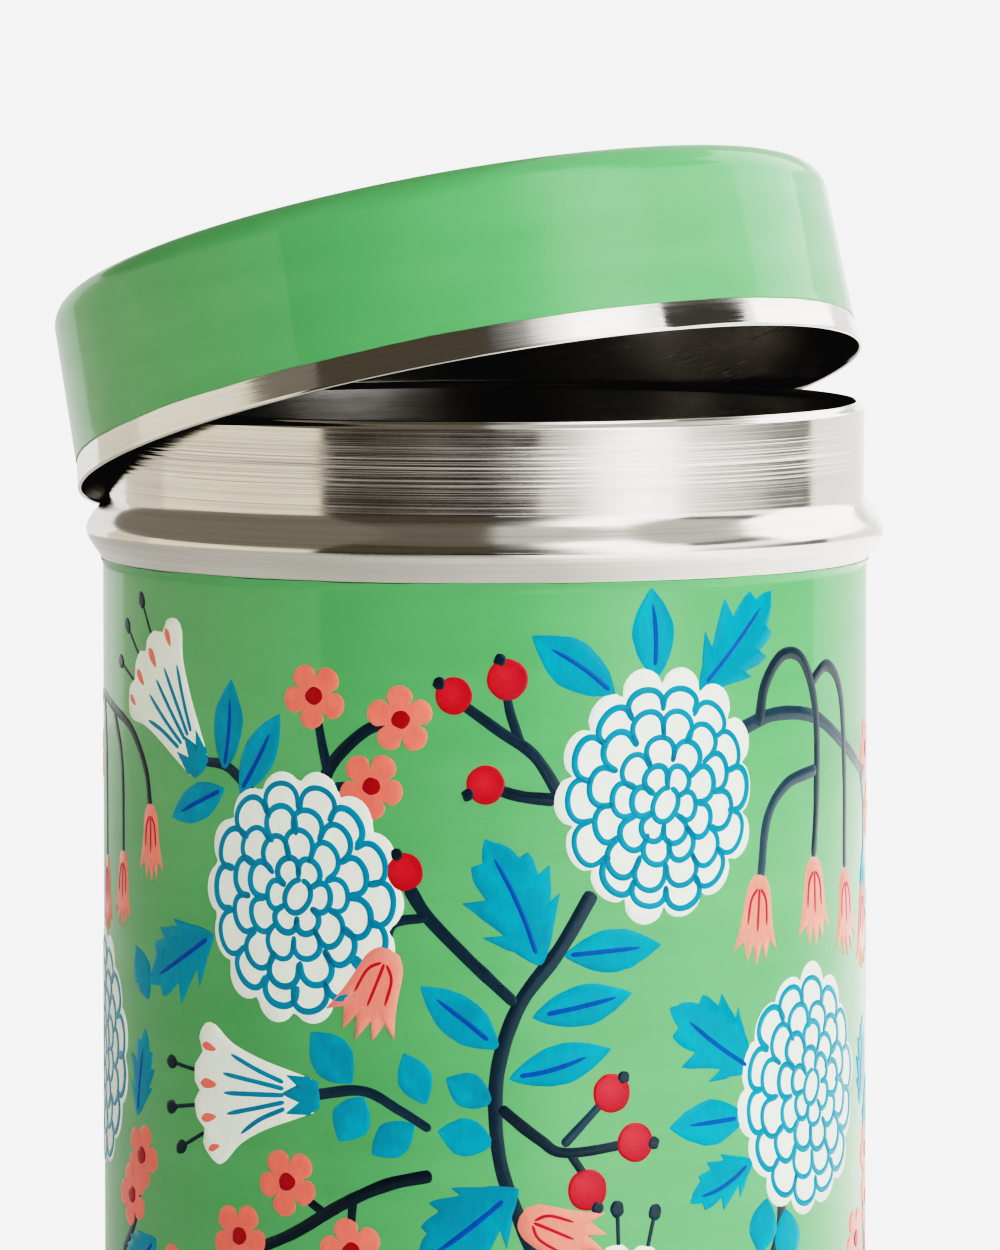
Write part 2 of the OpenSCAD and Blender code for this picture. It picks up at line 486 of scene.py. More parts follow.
def smooth_path(pts, step):
    """Points along a Catmull-Rom curve through pts, about step apart."""
    if len(pts) == 2:
        k = max(2, int(dist(*pts) / step))
        return [mixed(pts[0], pts[1], i / k) for i in range(k + 1)]
    p = [(2 * pts[0][0] - pts[1][0], 2 * pts[0][1] - pts[1][1])] + list(pts)
    p.append((2 * pts[-1][0] - pts[-2][0], 2 * pts[-1][1] - pts[-2][1]))
    out = []
    for i in range(1, len(p) - 2):
        k = max(2, int(dist(p[i], p[i + 1]) / step))
        for j in range(k):
            t = j / k
            out.append(tuple(0.5 * (2 * p[i][d] + (p[i + 1][d] - p[i - 1][d]) * t
                                    + (2 * p[i - 1][d] - 5 * p[i][d] + 4 * p[i + 1][d] - p[i + 2][d]) * t * t
                                    + (3 * p[i][d] - p[i - 1][d] - 3 * p[i + 1][d] + p[i + 2][d]) * t ** 3)
                             for d in (0, 1)))
    out.append(pts[-1])
    return out


def band(layer, pts, half, col, thick, across, bevel, end_col=None, side=None, sweep=0.0):
    """A raised band along pts. half(t) is its half width, or one for each side, and across its points from
    side to side, the outermost sunk in the enamel. col is its colour at the start and end_col at the finish.
    sweep carries the rows' ends forward, as a leaf's veins run."""
    n = len(pts)
    grid = []
    wob = rnd.random() * 50
    for i, p in enumerate(pts):
        a, b = pts[max(i - 1, 0)], pts[min(i + 1, n - 1)]
        ds, dz = b[0] - a[0], b[1] - a[1]
        k = hypot(ds, dz) or 1
        ns, nz = dz / k, -ds / k
        t = i / (n - 1)
        hw = half(t)
        hw = hw if isinstance(hw, tuple) else (hw, hw)
        row = []
        c = mixed(col, end_col, t) if end_col else col
        for u in across:
            w = max(hw[0] if u < 0 else hw[1], 0.02)
            if abs(u) == 1:
                h = SUNK
                d = u * w
            else:
                lim = max(w - bevel, 0.3 * w)
                d = u / 0.8 * lim
                h = thick * min(1, w / 0.25) * (1 if 0 < i < n - 1 else 0.1)
            d *= 1 + 0.05 * noise.noise(Vector((t * 9 + wob, u * 0.6, 1.7)))
            cc = side(c, u, t) if side else c
            f = sweep * (1 - t ** 3) * abs(d)
            row.append(layer.put(p[0] + ns * d + ds / k * f, p[1] + nz * d + dz / k * f, h, cc))
        grid.append(row)
    for i in range(n - 1):
        for j in range(len(across) - 1):
            layer.f.append((grid[i][j], grid[i][j + 1], grid[i + 1][j + 1], grid[i + 1][j]))


def stroke(layer, pts, w, col, thick, head=0.5, tail=0.5, press=None):
    """A brush line, w mm wide, round at both ends. head and tail are how far in, in mm, each end takes to
    fill out. press(t) widens or narrows it on its way."""
    path = smooth_path(pts, 0.5)
    run = [0.0]
    for a, b in zip(path, path[1:]):
        run.append(run[-1] + dist(a, b))
    total = run[-1]
    # close rows at both ends, so that they come out round
    keep = [share * min(w * 0.5, total * 0.3) for share in (0.0, 0.04, 0.15, 0.4)]
    lo, hi, clear = keep[-1], total - keep[-1], 0.15
    marks = keep + [r for r in run if lo + clear < r < hi - clear] + [total - k for k in reversed(keep)]
    pts2, j = [], 0
    for m in marks:
        while j < len(run) - 2 and run[j + 1] < m:
            j += 1
        seg = run[j + 1] - run[j] or 1
        pts2.append(mixed(path[j], path[j + 1], (m - run[j]) / seg))
    seed = rnd.random() * 100

    def half(t):
        i = min(len(marks) - 1, int(round(t * (len(marks) - 1))))
        d = marks[i]
        a, b = min(1, d / max(head, 0.01)), min(1, (total - d) / max(tail, 0.01))
        full = sqrt(max(0, 1 - (1 - a) ** 2)) * sqrt(max(0, 1 - (1 - b) ** 2))
        k = press(d / total) if press else 1
        return w / 2 * full * k * (1 + 0.07 * noise.noise(Vector((d * 0.35, seed, 0))))
    band(layer, pts2, half, col, thick, (-1, -0.8, 0, 0.8, 1), min(0.13, w * 0.2))


def blob(layer, centre, outline, col, thick, rings, edge_col=None, dome=0.0, shade=None, bevel=0.15):
    """A filled shape that its centre can see all of, with a rounded paint edge. rings are the shares of the
    way out that carry rows of points, and shade(colour, s, z, share) may change the colour."""
    grid = []
    n = len(outline)
    lift = rnd.random() * 0.003
    for f in (*rings, None, 1.0):
        row = []
        for p in outline:
            d = dist(p, centre) or 1
            k = max(0.1, 1 - bevel / d) if f is None else f
            s, z = centre[0] + (p[0] - centre[0]) * k, centre[1] + (p[1] - centre[1]) * k
            h = SUNK if f == 1.0 else thick + lift + dome * (1 - k * k)
            c = mixed(col, edge_col, k ** 2) if edge_col else col
            row.append(layer.put(s, z, h, shade(c, s, z, k) if shade else c))
        grid.append(row)
    m = layer.put(centre[0], centre[1], thick + lift + dome, shade(col, *centre, 0) if shade else col)
    for j in range(n):
        q = (j + 1) % n
        layer.f.append((m, grid[0][j], grid[0][q]))
        for a, b in zip(grid, grid[1:]):
            layer.f.append((a[j], b[j], b[q], a[q]))


def turn(p, deg, at, k=1.0):
    """p, drawn pointing up, turned clockwise by deg about the origin, scaled and moved to at."""
    a = radians(deg)
    x, y = p[0] * k, p[1] * k
    return at[0] + x * cos(a) + y * sin(a), at[1] - x * sin(a) + y * cos(a)


def leaf(az, z, deg, length, width, teeth=0, rib=True):
    """A leaf from its stalk end, pointing deg clockwise from up, with about teeth teeth a side."""
    s = on_wall(az)
    n = max(18, int(length / (0.22 if teeth else 0.5)))
    span = 0.94 * length if teeth else length
    width *= 1.22 if teeth else 1.08
    pts = [turn((0, span * i / n), deg, (s, z)) for i in range(n + 1)]
    seed = rnd.random() * 40
    tone = rnd.uniform(0.93, 1.08)

    def half(t):
        w = sin(pi * t ** 0.78) ** 0.85 if teeth else sin(pi * t ** 0.92) ** 0.9
        w *= 1 + 0.06 * noise.noise(Vector((t * 4, seed, 2)))
        if not teeth:
            return width / 2 * w
        out = []
        for count, phase, deep in ((teeth - 0.6, 0.2, 0.52), (teeth + 0.5, 0.7, 0.3)):
            q = (t * count + phase) % 1.0
            cut = 1.06 - deep + deep * q ** 1.3 if 0.12 < t < 0.93 else 1.02 - deep * 0.6
            out.append(width / 2 * w * cut)
        return tuple(out)

    def side(c, u, t):
        drift = noise.noise(Vector((u * 1.4 + seed, t * 3, 4)))
        return tint(c, 1 + 0.10 * drift + (0.05 if u < 0 else -0.03))
    base, tip = tint(C_LEAF, tone * 0.95), tint(mixed(C_LEAF, (0.0, 0.30, 0.42), 0.4), tone)
    across = (-1, -0.8, -0.5, -0.2, 0.2, 0.5, 0.8, 1)
    band(BLUE, pts, half, base, BLUE.thick + rnd.random() * 0.006, across, 0.13, end_col=tip, side=side,
         sweep=0.42 if teeth else 0.12)
    if rib:
        q0, q1 = rnd.uniform(0.08, 0.16), rnd.uniform(0.78, 0.88)
        m = [pts[int(n * (q0 + (q1 - q0) * k / 3))] for k in range(4)]
        sway = width * rnd.uniform(-0.07, 0.07)
        m[1] = turn((sway, 0), deg, m[1])
        m[2] = turn((sway, 0), deg, m[2])
        stroke(BLUE, m, 0.85, C_RIB, BLUE.thick + 0.032, 0.5, 4.0)


def stem(pts, w):
    """A stem through pts, in degrees round the wall and mm up it, thinning towards its end."""
    col = tint(C_NAVY, rnd.uniform(0.8, 1.5))
    stroke(NAVY, [(on_wall(a), z) for a, z in pts], w * 1.14, col, NAVY.thick + rnd.random() * 0.006,
           0.7, 0.7, press=lambda t: 1.12 - 0.22 * t)


def round_outline(s, z, rx, rz, n, deg=0.0, rough=0.05):
    """An oval outline of n points, uneven by about rough."""
    seed = rnd.random() * 90
    out = []
    for i in range(n):
        a = 2 * pi * i / n
        k = 1 + rough * noise.noise(Vector((cos(a) * 1.3 + seed, sin(a) * 1.3, 0)))
        out.append(turn((rx * k * sin(a), rz * k * cos(a)), deg, (s, z)))
    return out


def off_white(c, s, z, k):
    """A slow drift in the white's tone over the wall."""
    return tint(c, 1 + 0.035 * noise.noise(Vector((s * 0.3, z * 0.3, 5))))


def pompom(az, z, rx=15.6, rz=17.6, deg=0.0):
    """A round many-petalled bloom: a scalloped white disc with rows of outlined petals."""
    s = on_wall(az)
    lobes = 14
    off = rnd.random() * 0.4
    cx, cz = rnd.uniform(-0.06, 0.06), rnd.uniform(-0.08, 0.04)      # the rows' middle, off the disc's
    uneven = [rnd.uniform(0.96, 1.04) for _ in range(lobes)]

    def at(k, a, drift=1.0):
        x, y = k * sin(a) + cx * drift, k * cos(a) + cz * drift
        return turn((rx * x, rz * y), deg, (s, z))
    edge = []
    n = lobes * 10
    for i in range(n):
        a = 2 * pi * i / n
        q = (lobes * (a - off) / (2 * pi)) % lobes
        bump = sin(pi * (q % 1.0)) ** 0.55
        edge.append(at((0.89 + 0.115 * bump) * (1 + (uneven[int(q) % lobes] - 1) * bump), a, 0))
    fold = WHITE.thick + 0.045      # the petals' outlines lie over the disc

    blob(WHITE, (s, z), edge, C_WHITE, WHITE.thick, [i / 9 for i in range(1, 9)], shade=off_white)
    tone = rnd.uniform(0.95, 1.1)

    def outline(pts, w):
        width = w * rnd.uniform(0.9, 1.1)
        stroke(WHITE, pts, width, tint(C_TEAL, tone * rnd.uniform(0.93, 1.07)), fold, 0.5, 0.6)
    last = 0.13
    angles = [2 * pi * i / 14 + 0.3 for i in range(15)]
    outline([at(last * (1 + 0.12 * sin(2 * a + off)), a) for a in angles], 1.0)
    for ring, (rad, count) in enumerate(((0.325, 6), (0.52, 9), (0.72, 12), (0.905, 14))):
        start = off if count == lobes else rnd.random() * 6
        drift = 1 - ring / 3.4 * 0.9
        for j in range(count):
            mid = start + 2 * pi * (j + 0.5) / count + rnd.uniform(-0.03, 0.03)
            wide = pi / count
            r0 = rad * rnd.uniform(0.96, 1.04)
            lean = rnd.uniform(-0.16, 0.16)
            foot = [last + rnd.uniform(-0.01, 0.035), last + rnd.uniform(-0.01, 0.035)]
            pts = []
            for q in range(13):
                t = -1 + q / 6
                a = mid + (sin(t * pi / 2) + lean * (1 - t * t)) * wide
                low = foot[0] if t < 0 else foot[1]
                k = low + (r0 - low) * cos(t * pi / 2) ** 0.62 if abs(t) < 1 else low
                pts.append(at(k, a, drift))
            outline(pts, 1.04)
        last = rad - 0.03


def blossom(az, z, size=4.8):
    """Five blunt petals round a dark red eye."""
    s = on_wall(az)
    deg = rnd.uniform(0, 72)
    tone = rnd.uniform(0.95, 1.05)
    reach = [rnd.uniform(0.93, 1.07) for _ in range(5)]
    edge, per = [], 14              # points to a petal
    for i in range(5 * per):
        a = 2 * pi * i / (5 * per)
        lobe = abs(sin(2.5 * a)) ** 0.42
        k = size * (0.50 + 0.50 * lobe * reach[i // per])
        edge.append(turn((k * sin(a), k * cos(a)), deg, (s, z)))

    def shade(c, ps, pz, k):
        return tint(c, 1 + 0.07 * noise.noise(Vector((ps * 0.5, pz * 0.5, 8))))
    blob(CORAL, (s, z), edge, tint(C_CORAL, tone), CORAL.thick, (0.3, 0.55, 0.8), shade=shade)
    eye = round_outline(s, z, 1.4, 1.35, 20, rough=0.14)
    blob(CORAL, (s, z), eye, tint(C_RED, 0.72), CORAL.thick + 0.04, (0.5,), tint(C_RED, 0.6), 0.02)


def berry(az, z, r, deg):
    """A red berry with a dark tip at deg, with a painted highlight towards its upper left and painted shade
    darkening its rim.
    """
    s = on_wall(az)
    # lit is where the painted highlight sits: upper left on the wall, however the berry turns
    lit = turn((-0.25 * r, 0.3 * r), 0, (s, z))

    # the red pales towards lit as a painted highlight
    def shade(c, ps, pz, k):
        d = dist((ps, pz), lit) / r
        return mixed(C_BERRY_PAINTED_HIGHLIGHT, c, min(1, d * 0.95))
    # the rim darkens to 0.82 of the red as painted shade
    blob(RED, (s, z), round_outline(s, z, r, r * 1.02, 30), C_BERRY, RED.thick, (0.3, 0.6, 0.85),
         tint(C_BERRY, 0.82), 0.05, shade)
    c = turn((0, r * 1.02), deg, (s, z))
    blob(NAVY, c, round_outline(*c, 0.95, 0.9, 14, rough=0.3), C_NAVY, 0.17, (0.5,))
    a = turn((0.12 * r, 0.05 * r), deg, (s, z))
    b = turn((0.05 * r, 0.62 * r), deg, (s, z))
    stroke(RED, [a, b], 0.34, C_CREASE, RED.thick + 0.075, 0.2, 0.7)


def hanging_bell(az, z, deg=180.0, length=12.0, width=7.4, over=0.0):
    """A small coral bell on its stalk end, its mouth towards deg. over lifts it above what it overlaps."""
    s = on_wall(az)
    h = width / 2
    right = [(0.0, -0.01), (0.34, 0.02), (0.62, 0.16), (0.76, 0.4), (0.90, 0.62), (1.16, 0.90)]
    mouth = [(0.66, 0.78), (0.42, 1.02), (0.20, 0.80), (-0.06, 1.06), (-0.30, 0.80), (-0.56, 1.0),
             (-0.72, 0.77)]
    left = [(-x, y * 0.98) for x, y in right[:0:-1]]
    shape = smooth_path(right, 0.1)[:-1] + [right[-1]] + mouth + [(-1.16, 0.88)] + smooth_path(left, 0.1)[1:]
    fine = []
    for a, b in zip(shape, shape[1:] + shape[:1]):
        k = max(1, int(dist(a, b) / 0.09))
        fine += [mixed(a, b, i / k) for i in range(k)]
    shape = [turn((x * h, y * length), deg, (s, z)) for x, y in fine]
    tone = rnd.uniform(0.97, 1.05)
    col, edge_col = (tint(mixed(C_CORAL, C_PALE_CORAL, k), tone) for k in (0.16, 0.24))
    thick = CORAL.thick + over
    blob(CORAL, turn((0, 0.5 * length), deg, (s, z)), shape, col, thick, (0.3, 0.6), edge_col, bevel=0.1)
    for x, top, w in ((-0.5, 0.62, 0.6), (-0.02, 0.7, 0.62), (0.5, 0.62, 0.6)):
        pts = [turn((x * h * k, y * length), deg, (s, z)) for k, y in ((0.12, 0.16), (0.8, 0.3), (1.05, top))]
        stroke(CORAL, pts, w, tint(C_RED, 1.1), thick + 0.035, 0.5, 2.0)


def trumpet(az, z, deg, length=19.5, width=19.0):
    """A white trumpet flower from its stalk end, opening towards deg, with dark-headed stamens."""
    s = on_wall(az)
    h = width / 2

    def P(x, y):
        return turn((x * h, y * length), deg, (s, z))
    for x, reach in ((-0.78, 1.20), (-0.22, 1.30), (0.42, 1.28)):
        a, b = P(x * 0.72, 0.96), P(x, reach)
        stroke(NAVY, [a, b], 0.62, C_NAVY, NAVY.thick, 0.3, 0.3)
        blob(NAVY, b, round_outline(*b, 1.02, 1.3, 16, deg + x * 30, 0.2), C_NAVY, NAVY.thick + 0.02, (0.5,))
    side = [(0.24, 0.02), (0.34, 0.16), (0.52, 0.42), (0.74, 0.66), (0.98, 0.80), (1.0, 0.90)]
    mouth = [(0.80, 0.97), (0.60, 0.94), (0.42, 1.02), (0.16, 1.03), (0.04, 0.985), (-0.10, 1.04),
             (-0.36, 1.02), (-0.50, 0.95), (-0.70, 0.97), (-0.86, 0.92)]
    left = [(-0.99, 0.84), (-0.95, 0.76), (-0.70, 0.62), (-0.50, 0.42), (-0.33, 0.16), (-0.24, 0.02)]
    shape = [P(*p) for p in smooth_path(side + mouth + left, 0.07)]
    blob(WHITE, P(0, 0.62), shape, C_WHITE, WHITE.thick, (0.2, 0.4, 0.6, 0.8), shade=off_white)
    for x, y in ((-0.56, 0.62), (-0.28, 0.74), (0.02, 0.76), (0.30, 0.76), (0.58, 0.68)):
        pts = [P(0.27 * x * 1.2, 0.24), P(0.62 * x, 0.45), P(x, y)]
        stroke(WHITE, pts, 0.82, tint(C_TEAL, rnd.uniform(0.93, 1.1)), WHITE.thick + 0.045, 0.4, 2.5)
    cup = [(0, -0.035), (0.20, -0.02), (0.28, 0.06), (0.30, 0.22), (0.17, 0.13), (0.03, 0.27), (-0.10, 0.13),
           (-0.26, 0.24), (-0.28, 0.06), (-0.18, -0.02)]
    fine = []
    for a, b in zip(cup, cup[1:] + cup[:1]):
        fine += [mixed(a, b, i / 4) for i in range(4)]
    blob(BLUE, P(0, 0.06), [P(*p) for p in fine], C_LEAF, WHITE.thick + 0.035, (0.5,))
    drop = [(0, 1.3), (0.55, 0.7), (0.5, -0.3), (0, -1.3), (-0.45, -0.4), (-0.5, 0.7), (0, 1.3)]
    for x, y, w in ((-0.76, 0.86, 1.0), (-0.34, 0.90, 1.25), (0.14, 0.89, 1.35), (0.66, 0.87, 1.15)):
        c = P(x, y)
        mark = [turn(p, deg + x * 22, c, w) for p in smooth_path(drop, 0.4)[:-1]]
        blob(CORAL, c, mark, C_CORAL, WHITE.thick + 0.03, (0.5,), bevel=0.08)


def garland():
    """The front's planting, in degrees round the wall and mm up it."""
    # main stem with its two arms
    stem([(16, 97), (11, 89), (5.5, 82), (2.6, 75), (1.6, 68), (2.4, 59), (5.6, 50), (8.5, 42), (8, 30),
          (3, 18)], 1.75)
    stem([(-11.2, 98), (-8.2, 93.6), (-2, 87.5), (4.6, 81.5)], 1.6)
    stem([(-14.5, 88), (-13.5, 92.5), (-8.2, 93.6)], 1.3)
    stem([(2.2, 67), (8, 62.5), (12, 60.5), (22, 61.5)], 1.35)
    stem([(11.5, 61.5), (15, 65), (18.5, 68.5)], 1.1)
    stem([(12.5, 60.5), (15.6, 56)], 1.1)
    stem([(10.5, 110), (5.2, 110.6), (0.5, 112)], 1.5)
    stem([(12, 109), (7.5, 116), (2.5, 119.5), (-4, 124)], 1.45)
    stem([(5.4, 117.5), (3.6, 123), (3.2, 127)], 1.2)
    stem([(-36, 110), (-41, 113.5), (-46, 114)], 1.35)
    stem([(-25.5, 106), (-23.2, 114), (-17.5, 119.5), (-12.5, 121)], 1.6)
    stem([(-23.4, 113.5), (-24.4, 118), (-25.4, 123)], 1.2)
    stem([(-22.5, 111.5), (-17, 112)], 1.1)
    # trumpet sprays
    stem([(-26, 68.1), (-18, 69), (-12.5, 66.5), (-7.8, 63.8)], 1.3)
    stem([(-7.6, 57.4), (-14, 56), (-21, 53), (-30, 48), (-40, 44.5), (-52, 42)], 1.5)
    stem([(-24, 51.5), (-29.5, 55)], 1.1)
    stem([(-19.5, 53.8), (-20, 47.5)], 1.1)
    # drooping bells, right
    stem([(40, 118.5), (48, 120.5), (58, 119.5), (68, 115), (78, 110.5), (88, 108)], 1.7)
    stem([(44.5, 119), (46, 125), (50, 128.8), (55, 127.5), (58.5, 120), (58.8, 108), (58, 99.5)], 1.55)
    stem([(56.5, 124), (62, 126.5), (67, 122), (68.8, 110), (69, 97)], 1.5)
    stem([(58.6, 112), (51, 110.5), (46.5, 106), (45, 97.5)], 1.55)
    for a, z, d in ((44.8, 98, 184), (58, 99.5, 178), (69, 97, 175), (80, 94, 180)):
        hanging_bell(a, z, d)
    stem([(78, 110.4), (81, 104), (80.4, 94)], 1.1)
    # drooping bells, left
    stem([(-92, 119), (-84, 121), (-74, 119.5), (-66, 117.2), (-61, 112), (-59.4, 106)], 1.3)
    stem([(-74, 119.4), (-70, 112), (-69.5, 99)], 1.15)
    stem([(-82, 120.6), (-80, 112), (-79.6, 97.5)], 1.15)
    for a, z, d in ((-59.3, 107, 180), (-69.4, 99.5, 184), (-79.6, 98, 180)):
        hanging_bell(a, z, d, 10.5, 5.8)
    hanging_bell(-13.8, 89.0, 203, 13.0, 9.4, 0.06)
    # blooms
    pompom(-28.4, 95.8)
    pompom(27.0, 110.2, deg=4)
    pompom(56.5, 66.5, deg=-3)
    pompom(-83.5, 70)
    trumpet(-46.6, 113, -42, 21, 20)
    trumpet(-25.4, 68.0, -93, 21, 20)
    trumpet(20.5, 27.5, 3, 19, 18)
    # blossoms
    for a, z in ((-25.6, 124.2), (-12.2, 121.2), (-16.6, 111.8), (-30.2, 55.6), (-38.8, 47.3), (-19.8, 46.4),
                 (-62.5, 56.5), (-66, 50.5), (-54, 40), (84, 55), (75.5, 43)):
        blossom(a, z)
    stem([(-70, 42), (-65, 47), (-62.8, 54)], 1.2)
    stem([(84, 40), (82, 47), (84, 55)], 1.2)
    # berries
    for a, z, d in ((-4.4, 124.6, -50), (3.4, 126.9, -20), (0.2, 112.2, -120), (-11.6, 99.9, -25),
                    (18.9, 68.7, 40), (22.6, 61.6, 95), (15.2, 55.2, 150)):
        berry(a, z, 2.75 + rnd.uniform(-0.15, 0.2), d)
    # leaves: stalk end, direction, length, width, teeth, and 1 for one with a rib
    for q in ((-41.6, 112.8, 6, 13.2, 5, 0, 1), (-38.6, 109.8, 31, 13.6, 5, 0, 1),
              (-41.5, 110.4, -113, 12.4, 5, 0, 1), (19.4, 124.6, -55, 14.6, 6.4, 0, 1),
              (25.8, 126.4, -3, 13, 6, 0, 1), (33.2, 124.6, 45, 20.2, 9.6, 4, 1),
              (8.4, 86.8, -24, 20.8, 10.8, 4, 1), (11.6, 88.2, 86, 14.6, 5.6, 0, 1),
              (7, 79.6, 78, 14.8, 5.4, 0, 1), (3.6, 71, 75, 15.2, 5.4, 0, 1),
              (2.3, 75.2, -52, 14.2, 5.8, 0, 1), (1.2, 67.6, -62, 7.4, 4.6, 0, 0),
              (1.4, 62, -78, 8, 5, 0, 0), (-8.5, 67.4, -24, 7.8, 4.6, 0, 0), (-19.6, 70, -42, 9.4, 6, 0, 0),
              (-17.8, 68.2, -150, 7.4, 5.4, 0, 0), (-10.2, 64.6, -126, 7.6, 4.8, 0, 0),
              (-43.8, 89.6, -118, 18.4, 9.6, 4, 1), (43.4, 70.4, -56, 18.8, 10, 4, 1),
              (42.2, 64, -93, 13.6, 6, 0, 1), (43.6, 57.6, -114, 13.4, 6.4, 4, 1),
              (46.5, 52, 190, 8, 5.4, 0, 0), (50.5, 50.2, 170, 8.6, 5.6, 0, 0),
              (5, 55.6, -128, 19, 10, 4, 1), (-58, 45, -128, 13, 8, 5, 1), (-95, 92, -20, 13, 6, 0, 1),
              (-64, 62, 12, 14, 6.4, 4, 1), (78, 62, 12, 14, 6.4, 5, 1), (-60, 79, -30, 8.5, 5, 0, 0)):
        leaf(*q)
    stem([(50, 51.6), (49, 46), (44, 38), (36, 30), (24, 22), (3, 18)], 1.5)
    stem([(5.6, 50), (8, 47.5), (11, 46.6)], 1.2)
    hanging_bell(5.2, 51.6, 114, 12.5, 9.0, 0.05)


def lower_and_back():
    """The planting low on the front and round the back, in the same manner."""
    stem([(3, 18), (-6, 14), (-16, 13), (-28, 16)], 1.5)
    pompom(-40, 24, 14.2, 15.6, 8)
    pompom(52, 19.5, 13.6, 14.6, -6)
    for a, z in ((-13, 30), (-5.5, 35), (-20, 25), (30, 12), (37.5, 20), (-62, 14), (-68, 21), (78, 15)):
        blossom(a, z)
    stem([(-12, 13.2), (-15, 20), (-13, 29)], 1.1)
    stem([(20, 20.6), (26, 15), (30, 12)], 1.1)
    for a, z, d in ((15, 10, 160), (22, 8.5, 170), (-72, 32, -40), (70, 33, 30), (78, 29, 80)):
        berry(a, z, 2.7, d)
    stem([(58, 34), (64, 36), (70, 33)], 1.1)
    stem([(64, 36), (72, 33), (78, 29)], 1.1)
    stem([(8, 17), (12, 14), (15, 10)], 1.1)
    stem([(12, 14), (18, 12), (22, 8.5)], 1.1)
    for q in ((-28, 16, 110, 13, 6, 4), (14, 27, 118, 13, 6, 0), (24, 24, 35, 11, 5, 0),
              (-1, 24, -60, 12, 5.4, 0), (-26, 34, 40, 11, 5.2, 0), (38, 30, 70, 12, 5.6, 0),
              (68, 10, -60, 11, 5.4, 0), (-58, 33, -20, 12, 6, 4)):
        leaf(*q)
    # round the back: three leaning stems, each with its blooms, berries and leaves
    for k, (middle, lift, reach, flip) in enumerate(((112, 0, 68, 1), (177, 7, 72, -1), (239, -4, 70, 1))):
        def P(a, z):
            return middle + a * flip, z + lift * sin(pi * z / 130)
        stem([P(0, 10), P(-4, 26), P(2, 44), P(-3, 62), P(3, 80), P(0, 96)], 1.7)
        stem([P(2, 44), P(12, 51), P(19, 52)], 1.3)
        stem([P(-3, 62), P(-13, 65), P(-18, reach)], 1.3)
        stem([P(2.5, 78), P(12, 88), P(21, 90)], 1.3)
        stem([P(-4, 26), P(-14, 30), P(-20, 38)], 1.2)
        stem([P(12, 51), P(15, 44)], 1.1)
        pompom(middle - 1, 112, 15.4, 17.4, 6 * flip)
        a, z, rx, rz = (-15, 24, 12.6, 14.0) if k == 1 else (19, 28, 13.4, 15.0)
        pompom(middle + a, z, rx, rz, -8 * flip)
        if k < 2:
            trumpet(*P(-18, reach), (-6, 18)[k], 18, 16)
        else:
            hanging_bell(*P(-18, reach), 196, 11)
        hanging_bell(*P(21, 90), 172)
        hanging_bell(*P(15, 44.5), 190, 9.5)
        for a, z in ((-22, 40), (-15, 46), (-27, 48), (23, 122), (29, 113), (-25, 104), (-29, 113)):
            blossom(*P(a, z))
        for a, z, d in ((20, 52, 90), (25, 58, 40), (13, 62, 10), (-14, 15, 200), (-21, 19, -100)):
            berry(*P(a, z), 2.75, d * flip)
        stem([P(12, 51), P(13, 61)], 1.1)
        stem([P(19, 52), P(25, 57)], 1.1)
        stem([P(-4, 20), P(-11, 18), P(-20, 19)], 1.1)
        for a, z, d, n, w, teeth in ((0, 30, 50, 13, 5.6, 0), (-3, 38, -60, 13, 5.6, 0),
                                     (1, 50, -48, 15, 7, 5), (0, 66, 62, 17, 8.4, 6),
                                     (3, 84, -62, 16, 7.6, 5), (0, 90, 50, 15, 6.4, 0),
                                     (-14, 70, 200, 11, 5, 0), (24, 100, 20, 13, 6, 4),
                                     (30, 74, -10, 14, 6.4, 5), (-25, 66, -160, 13, 6.2, 4),
                                     (17, 8, 80, 11, 5, 0), (-26, 8, -70, 12, 5.4, 0),
                                     (-16, 118, -20, 13, 6, 4), (17, 126, 30, 12, 5.4, 0),
                                     (-30, 88, -10, 11, 5.4, 0)):
            leaf(*P(a, z), d * flip, n, w, teeth)


# -------------------- light, floor, camera
SKY = 2.0                      # brightness of the backdrop
DOME_R, DOME_Z = 1.35, 0.13    # the dome of panels: its radius and its middle's height, in metres
FLOOR_Z = -0.0002


def panel(name, az0, az1, el0, el1, level, colour=(1, 0.99, 0.97)):
    """Part of the dome of studio panels. az is degrees round from the camera's side, el degrees up from the
    dome's middle. level is one brightness, or pairs of azimuth and brightness from az0 to az1."""
    t = Tree(name)
    if isinstance(level, (int, float)):
        level = [(az0, level), (az1, level)]
    u = t.n("SeparateXYZ", Vector=t.n("TexCoord").outputs["UV"]).outputs["X"]
    top = max(k for _, k in level)
    glow = t.ramp(u, *(((a - az0) / (az1 - az0), tuple(k / top * c for c in colour)) for a, k in level))
    m = t.finish(t.n("Emission", Color=glow, Strength=top))
    if top < 0.5:                  # too faint to be worth sampling as a lamp
        m.cycles.emission_sampling = "NONE"
    step = 6                       # degrees
    na, ne = max(2, int((az1 - az0) / step)), max(2, int((el1 - el0) / step))
    verts, faces, uvs = [], [], []
    for j in range(ne + 1):
        e = radians(el0 + (el1 - el0) * j / ne)
        for i in range(na + 1):
            a = radians(az0 + (az1 - az0) * i / na)
            verts.append((DOME_R * cos(e) * sin(a), -DOME_R * cos(e) * cos(a),
                          max(0.0005, DOME_Z + DOME_R * sin(e))))
            if i and j:
                q = j * (na + 1) + i
                faces.append((q, q - 1, q - na - 2, q - na - 1))
                uvs += [(i / na, 0.5), ((i - 1) / na, 0.5), ((i - 1) / na, 0.5), (i / na, 0.5)]
    me = bpy.data.meshes.new(name)
    me.from_pydata(verts, [], faces)
    me.uv_layers.new(name="UVMap").data.foreach_set("uv", [c for uv in uvs for c in uv])
    me.materials.append(m)
    o = added(name, me)
    o.visible_camera = False


